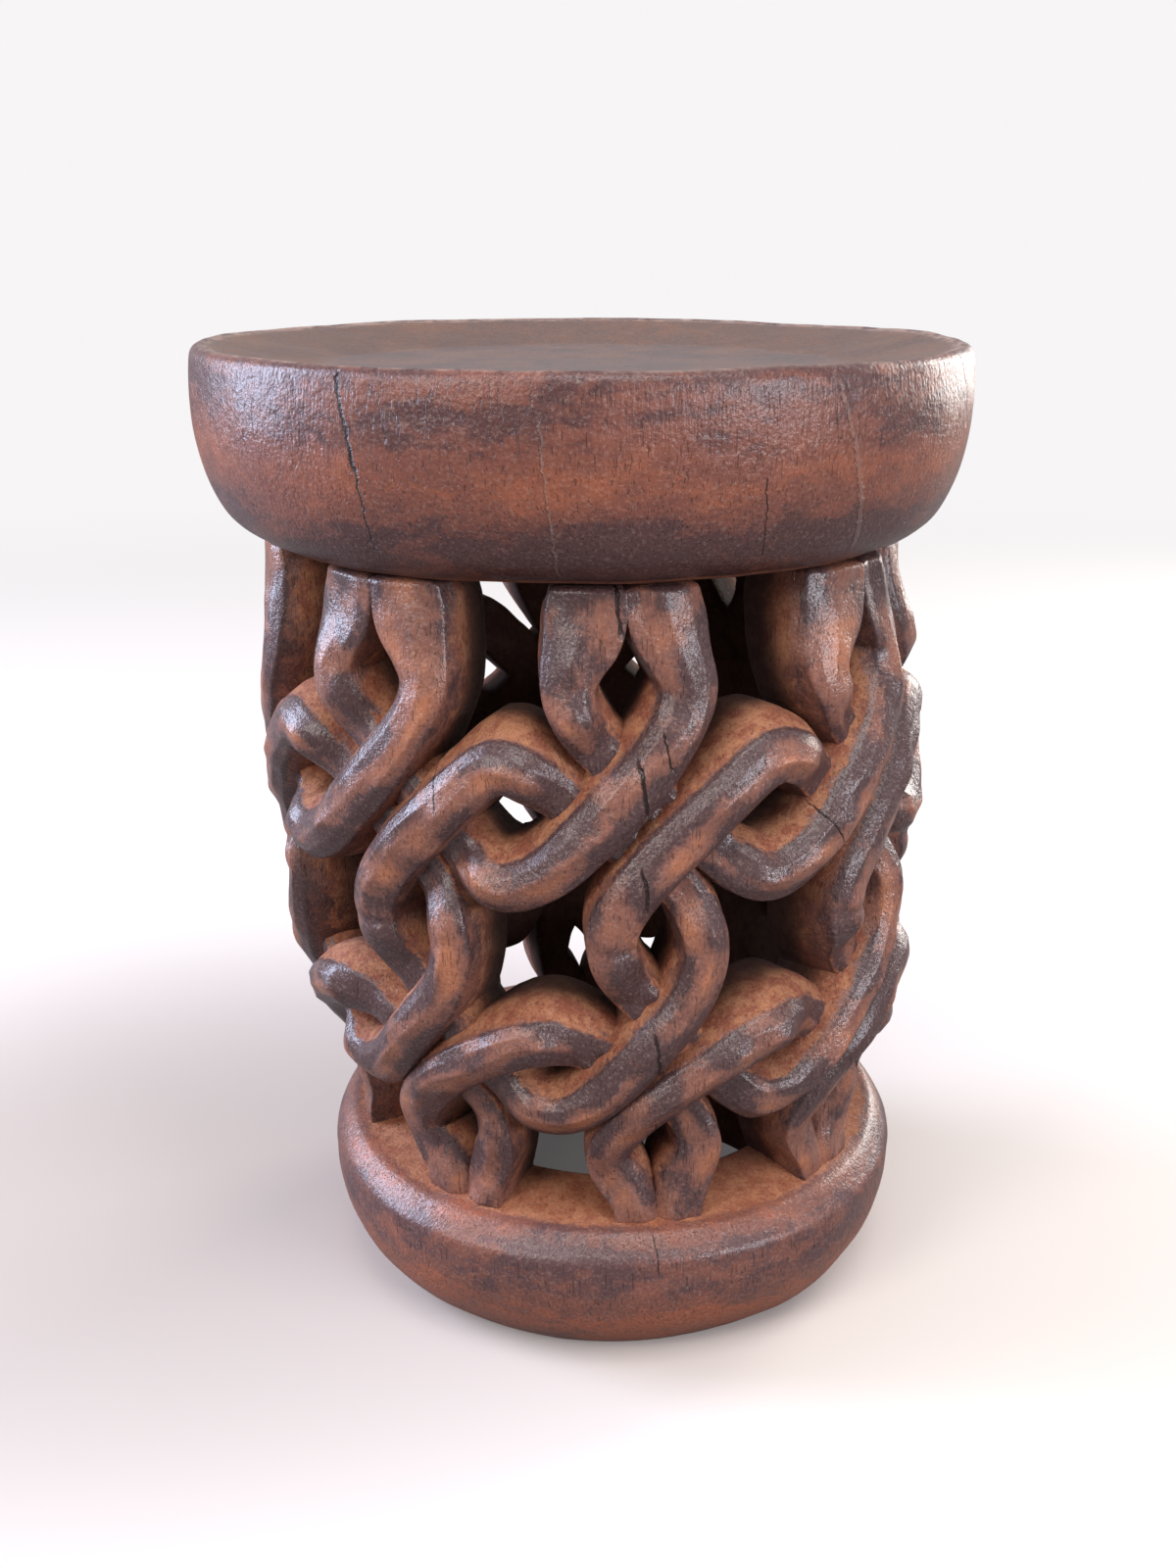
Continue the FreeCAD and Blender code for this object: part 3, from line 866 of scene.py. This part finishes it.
@dataclass
class TurnedPiece(Carving):
    """A round member, revolved from its outline and hewn by hand."""

    node: str
    slot: str
    outline: Sequence[tuple[float, float]]
    middle: tuple[float, float]
    woods: Sequence[OiledHardwood]
    steps: int = 240
    side_span: float = 4.5
    flat_span: float = 12.0
    flat_radius: float = 135.0
    hewn: float = 0.8
    cut: float = 26.0
    cut_stretch: float = 1.5
    cut_edge: float = 0.4
    swells: Sequence[tuple[float, float]] = ((80.0, 1.3), (31.0, 0.5))
    foot_level: float = 0.1

    def profile(self) -> list[Vector]:
        """Divide the outline's long sides.

        Returns:
            The points in metres, in the XZ plane.
        """
        points: list[Vector] = []
        for (r0, z0), (r1, z1) in zip(self.outline, self.outline[1:]):
            span = self.flat_span if max(r0, r1) < self.flat_radius else self.side_span
            parts = max(1, round(math.hypot(r1 - r0, z1 - z0) / span))
            for part in range(parts):
                share = part / parts
                points.append(Vector((r0 + (r1 - r0) * share, 0, z0 + (z1 - z0) * share)) * MM)
        points.append(Vector((self.outline[-1][0], 0, self.outline[-1][1])) * MM)
        return points

    def wear(self, radius: float, height: float) -> Wear:
        """Wear and painted shade at a radius and height in mm."""
        raise NotImplementedError

    def wood_number(self, radius: float, height: float) -> int:
        """Which of the piece's woods shows at a radius and height in mm."""
        return 0

    def sag(self, spot: Vector) -> float:
        """How far the skin at a point lies low, in mm."""
        return 0.0

    def hew(self, spot: Vector) -> float:
        """How far the hand-cut skin stands off the true round.

        Args:
            spot: Point of the skin in metres.

        Returns:
            The distance outwards in mm.
        """
        at = spot / MM
        broad = sum(noise.noise(at / span) * rise for span, rise in self.swells)
        tall = self.cut * self.cut_stretch
        distances, _ = noise.voronoi(Vector((at.x / self.cut, at.y / self.cut, at.z / tall)))
        return broad - max(self.cut_edge - distances[0] ** 2, 0.0) * self.hewn

    def build(self) -> bpy.types.Object:
        """Revolve, hew, dress and seat the piece.

        Returns:
            The finished piece.
        """
        mesh, layers = self.open_mesh()
        verts = [mesh.verts.new(point) for point in self.profile()]
        edges = [mesh.edges.new(pair) for pair in zip(verts, verts[1:])]
        bmesh.ops.spin(mesh, geom=verts + edges, cent=(0, 0, 0), axis=(0, 0, 1), angle=math.tau,
                       steps=self.steps, use_merge=True)
        bmesh.ops.remove_doubles(mesh, verts=mesh.verts[:], dist=0.05 * MM)
        bmesh.ops.recalc_face_normals(mesh, faces=mesh.faces[:])
        mesh.normal_update()
        for face in mesh.faces:
            middle = face.calc_center_median() / MM
            face.material_index = self.wood_number(middle.xy.length, middle.z)
        moves = [
            (vertex.normal * self.hew(vertex.co) - Vector((0, 0, self.sag(vertex.co)))) * MM
            for vertex in mesh.verts
        ]
        shift = Vector((self.middle[0], self.middle[1], 0.0)) * MM
        for vertex, move in zip(mesh.verts, moves):
            at = vertex.co / MM
            self.paint(vertex, layers, self.wear(at.xy.length, at.z))
            if at.z < self.foot_level:
                move.z = 0.0
            vertex.co += move + shift
        return self.finish(mesh, [wood.material() for wood in self.woods])


class SeatDish(TurnedPiece):
    """Thick seat with a shallow dish in its top."""

    def wear(self, radius: float, height: float) -> Wear:
        """Wear and painted shade of the seat: shaded belly and dish wall, rubbed side, pale rim.

        Args:
            radius: Distance from the axis, mm.
            height: Height above the floor, mm.

        Returns:
            The wear and painted shade there.
        """
        # Painted shade under the seat, on raw wood.
        if height < 417 and radius < 168:
            return Wear(0.15, 0.6)
        # In the dish: painted shade on its wall, pale worn crest.
        if height > 492 and radius < 192:
            wall = smooth_step((radius - 132) / 8) * smooth_step((191 - radius) / 6)
            return Wear(1.0, 0.42 * wall, 0.35 + 0.3 * wall, smooth_step((radius - 187) / 3))
        # The belly grows darker towards the bottom: a darker patina and painted shade.
        belly = smooth_step((458 - height) / 38)
        flank = math.exp(-((height - 462) / 17) ** 2)
        rim = smooth_step((height - 500) / 6) * smooth_step((196 - radius) / 3)
        return Wear(1.0, 0.42 * belly, 0.28 + 0.42 * flank - 0.1 * belly, rim)

    def wood_number(self, radius: float, height: float) -> int:
        """The scraped wood in the dish, the oiled one around it."""
        return 1 if height > 492 and radius < 191 else 0


class BaseRing(TurnedPiece):
    """Heavy open ring foot."""

    front_sag: float = 8.5

    def sag(self, spot: Vector) -> float:
        """How far the skin lies low: the shoulder slopes down at the front.

        Args:
            spot: Point of the skin in metres.

        Returns:
            The distance down in mm.
        """
        at = spot / MM
        radius = at.xy.length
        front = smooth_step(0.25 - 1.1 * at.y / radius)
        outward, upward = smooth_step((radius - 114) / 40), smooth_step((at.z - 60) / 22)
        return self.front_sag * front * outward * upward

    def wear(self, radius: float, height: float) -> Wear:
        """Wear and painted shade of the base: oiled shoulder, rubbed foot, raw top between the
        strands.

        Args:
            radius: Distance from the axis, mm.
            height: Height above the floor, mm.

        Returns:
            The wear and painted shade there.
        """
        # Painted shade inside the ring, on raw wood.
        if radius < 108 and height < 84:
            return Wear(0.05, 0.7)
        if height > 76 and radius < 158:
            return Wear(0.12 + 0.75 * smooth_step((radius - 138) / 18), 0.0, 0.5)
        foot = smooth_step((52 - height) / 30)
        # The second value is painted shade along the bottom edge, where the foot meets the floor.
        return Wear(1.0 - 0.25 * foot, 0.3 * smooth_step((10 - height) / 10), 0.34 + 0.46 * foot)


def arc(start: tuple[float, float], end: tuple[float, float], bend: float,
        parts: int) -> list[tuple[float, float]]:
    """Points of an arc that bulges away from the axis, without its end.

    Args:
        start: Radius and height where it starts.
        end: Radius and height where it ends.
        bend: Its radius.
        parts: How many spans it gets.

    Returns:
        The points from start up to the last before end.
    """
    first, last = Vector(start), Vector(end)
    chord = last - first
    outward = Vector((chord.y, -chord.x)).normalized()
    centre = (first + last) / 2 - outward * math.sqrt(bend ** 2 - (chord.length / 2) ** 2)
    arm = first - centre
    turn = 2 * math.asin(chord.length / 2 / bend)
    points = []
    for part in range(parts):
        angle = turn * part / parts
        points.append((
            centre.x + arm.x * math.cos(angle) - arm.y * math.sin(angle),
            centre.y + arm.x * math.sin(angle) + arm.y * math.cos(angle),
        ))
    return points


def seat_outline(under: float = 415.0) -> list[tuple[float, float]]:
    """Outline of the seat, from the middle of its underside up and in to its floor.

    Args:
        under: Height of its underside, mm.

    Returns:
        Pairs of radius and height, mm.
    """
    neck, belly, widest = (166.0, under + 1.6), (186.0, under + 15.6), (200.0, under + 67.5)
    lip, crest = (198.6, under + 90.0), (194.2, under + 95.5)
    floor = under + 83.5
    points = [(0.0, under), (165.0, under)]
    points += arc(neck, belly, 30.0, 5) + arc(belly, widest, 103.0, 10)
    points += arc(widest, lip, 180.0, 5) + arc(lip, crest, 6.0, 3)
    points += [crest, (192.6, under + 95.6), (191.0, under + 94.9)]
    return points + [(139.0, floor + 0.6), (135.5, floor), (0.0, floor)]


def base_outline() -> list[tuple[float, float]]:
    """Outline of the base ring, from the inside of its foot out, up and in again.

    Returns:
        Pairs of radius and height, mm.
    """
    foot, widest, shoulder = (135.5, 2.5), (161.4, 58.0), (150.8, 86.0)
    points = [(106.5, 0.0), (133.0, 0.0)]
    points += arc(foot, widest, 66.0, 12) + arc(widest, shoulder, 31.0, 8)
    return points + [shoulder, (106.0, 86.0), (104.0, 84.0), (104.0, 2.5), (106.5, 0.0)]


@dataclass(frozen=True)
class Softbox:
    """Oblong studio lamp that faces the middle of the table."""

    name: str
    place: tuple[float, float, float]
    breadth: float
    height: float
    watts: float
    colour: str = "#ffffff"

    def hang(self) -> None:
        """Hang the lamp in the scene."""
        data = bpy.data.lights.new(self.name, "AREA")
        data.energy = self.watts
        data.shape = "RECTANGLE"
        data.size = self.breadth
        data.size_y = self.height
        data.color = linear(self.colour)[:3]
        lamp = bpy.data.objects.new(self.name, data)
        lamp.location = self.place
        aim = Vector((0.0, 0.0, 0.3)) - lamp.location
        lamp.rotation_euler = aim.to_track_quat("-Z", "Y").to_euler()
        bpy.context.scene.collection.objects.link(lamp)


@dataclass(frozen=True)
class Studio:
    """Plain pale studio and the camera at the photograph's angle."""

    camera_mm: tuple[float, float, float] = (-132.4, -928.6, 571.0)
    heading_deg: float = -8.3
    pitch_deg: float = 17.82
    lens_mm: float = 40.57
    sensor_mm: float = 36.0
    ambient: float = 0.4
    mirrored_share: float = 0.2
    backdrop: str = "#f7f5f6"
    floor_reach: float = 30.0
    fade: tuple[float, float] = (0.5, 3.0)
    glow_near: float = 0.1
    glow_around: float = 0.24
    glow_front: float = 0.5
    shade_middle: tuple[float, float, float] = (-0.3, 0.08, 0.0)
    shade_reach: float = 0.58
    shade_glow: float = 0.06
    lamps: Sequence[Softbox] = (
        Softbox("window_left", (-2.2, 0.75, 1.1), 1.1, 1.7, 98.0, "#d6e1ff"),
        Softbox("window_front", (-1.7, -1.5, 1.5), 0.8, 1.2, 28.0, "#fff8f4"),
        Softbox("window_right", (2.0, 1.4, 0.9), 1.0, 1.2, 46.0, "#fffaf4"),
        Softbox("softbox_right", (1.42, -1.62, 0.74), 1.2, 0.3, 27.0, "#f6f6ff"),
        Softbox("ceiling", (0.1, -1.1, 2.5), 1.5, 1.5, 38.0),
    )

    def build(self) -> None:
        """Set up floor, world, lamps and camera."""
        scene = bpy.context.scene
        scene.view_settings.view_transform = "Standard"
        self.aim_camera(scene)
        self.lay_floor()
        self.light_world(scene)
        for lamp in self.lamps:
            lamp.hang()

    def aim_camera(self, scene: bpy.types.Scene) -> None:
        """Aim the camera along +Y, turned and tilted as in the photograph.

        Args:
            scene: Scene that gets the camera.
        """
        data = bpy.data.cameras.new("camera")
        data.lens = self.lens_mm
        data.sensor_width = self.sensor_mm
        camera = bpy.data.objects.new("camera", data)
        camera.location = Vector(self.camera_mm) * MM
        camera.rotation_euler = (
            math.radians(90 - self.pitch_deg), 0.0, math.radians(self.heading_deg))
        scene.collection.objects.link(camera)
        scene.camera = camera

    def seen(self, bench: NodeBench) -> Socket:
        """Share of the pale studio in what a ray sees: whole for the eye, dim in the oil.

        Args:
            bench: Tree that gets the nodes.

        Returns:
            1 for camera rays, less for mirrored ones and 0 for light that falls on things.
        """
        ray = bench.add("LightPath").outputs
        mirrored = bench.math("MAXIMUM", ray["Is Glossy Ray"], ray["Is Transmission Ray"])
        return bench.math("MAXIMUM", ray["Is Camera Ray"],
                          bench.math("MULTIPLY", mirrored, self.mirrored_share))

    def lay_floor(self) -> None:
        """Lay a plain floor, darker left of the table, that pales into the background."""
        mesh = bmesh.new()
        bmesh.ops.create_grid(mesh, x_segments=1, y_segments=1, size=self.floor_reach)
        material = bpy.data.materials.new("pale_floor")
        material.use_nodes = True
        bench = NodeBench(material.node_tree)
        seen = self.seen(bench)
        spot = bench.add("TexCoord").outputs["Object"]
        away = bench.add("VectorMath", {"operation": "LENGTH"}, _0=spot).outputs["Value"]
        far = bench.ramp(away, *self.fade)

        # The floor's own glow, which only the camera and mirrors see: bright in front.
        behind = bench.add("SeparateXYZ", Vector=spot).outputs["Y"]
        near = bench.mix(bench.ramp(away, 0.15, 0.6), self.glow_near, self.glow_around,
                         Blend.VALUE)
        near = bench.mix(bench.ramp(behind, -0.12, -0.42), near, self.glow_front, Blend.VALUE)

        # A soft shade on the left, painted on, because the lamps' own shadow is too weak there.
        beside = bench.add("VectorMath", {"operation": "DISTANCE"}, _0=spot,
                           _1=self.shade_middle).outputs["Value"]
        dusk = bench.ramp(beside, self.shade_reach, 0.05)
        near = bench.mix(dusk, near, self.shade_glow, Blend.VALUE)
        glow = bench.math("MULTIPLY", bench.mix(far, near, 1.0, Blend.VALUE), seen)
        lit = bench.mix(dusk, linear("#cfc7c2"), linear("#aea49e"))
        lit = bench.mix(far, lit, linear("#000000"))
        colour = bench.mix(seen, linear("#6c6868"), lit)
        shader = bench.add("BsdfPrincipled", Base_Color=colour, Roughness=0.9,
                           Emission_Color=linear(self.backdrop), Emission_Strength=glow)
        shader.inputs["Specular IOR Level"].default_value = 0.0
        bench.add("OutputMaterial", Surface=shader.outputs[0])
        as_object("studio_floor", mesh, [material])

    def light_world(self, scene: bpy.types.Scene) -> None:
        """Give a soft even light and a near-white background.

        Args:
            scene: Scene that gets the world.
        """
        world = bpy.data.worlds.new("studio_world")
        world.use_nodes = True
        bench = NodeBench(world.node_tree)
        light = bench.add("Background", Color=linear("#fbfaff"), Strength=self.ambient)
        white = bench.add("Background", Color=linear(self.backdrop), Strength=1.0)
        both = bench.add("MixShader", _0=self.seen(bench), _1=light.outputs[0],
                         _2=white.outputs[0])
        bench.add("OutputWorld", Surface=both.outputs[0])
        scene.world = world


def write_sizes() -> None:
    """Bring the view layer up to date."""
    bpy.context.view_layer.update()


def main() -> None:
    """Build the table and its studio, and report each piece."""
    logging.basicConfig(level=logging.INFO, format="%(name)s: %(message)s")
    pieces = [
        SeatDish("seat_dish", "seat_wood", seat_outline(), (0.0, 0.0),
                 (SEAT_WOOD, FLOOR_WOOD)).build(),
        BaseRing("base_ring", "base_wood", base_outline(), (17.2, -2.1), (BASE_WOOD,)).build(),
    ]
    pieces += Lattice().build()
    Studio().build()
    for piece in pieces:
        LOG.info("%s: %d faces", piece.name, len(piece.data.polygons))
    write_sizes()


if __name__ == "__main__":
    main()
